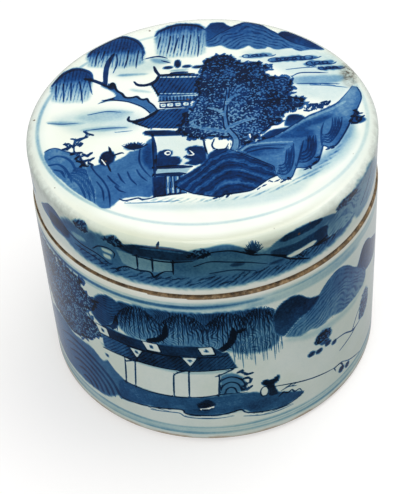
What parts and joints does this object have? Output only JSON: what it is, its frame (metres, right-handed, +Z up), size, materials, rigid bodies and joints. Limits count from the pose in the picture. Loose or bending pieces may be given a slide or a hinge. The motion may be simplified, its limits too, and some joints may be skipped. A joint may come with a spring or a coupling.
{
  "type": "seal paste box",
  "caption": "Round blue-and-white porcelain box with a drop-on cover over a galleried rim, filled with red seal paste.",
  "frame": {"origin": "on the table, under the centre of the foot ring", "axes": "+Z up along the axis that the box was turned on; the side that the picture shows faces -Y"},
  "size_m": [0.1006, 0.1006, 0.081],
  "materials": {
    "porcelain": "clear glaze over cobalt painting, bare biscuit on the rims and the foot",
    "paste": "oily, fibrous, kneaded"
  },
  "bodies": {
    "box": {"box_base": "porcelain", "seal_paste": "paste"},
    "cover": {"lid": "porcelain"}
  },
  "joints": [
    {"name": "lid_lift", "type": "slide", "parent": "box", "child": "cover", "axis": [0, 0, 1], "range_m": [0, 0.08]}
  ]
}
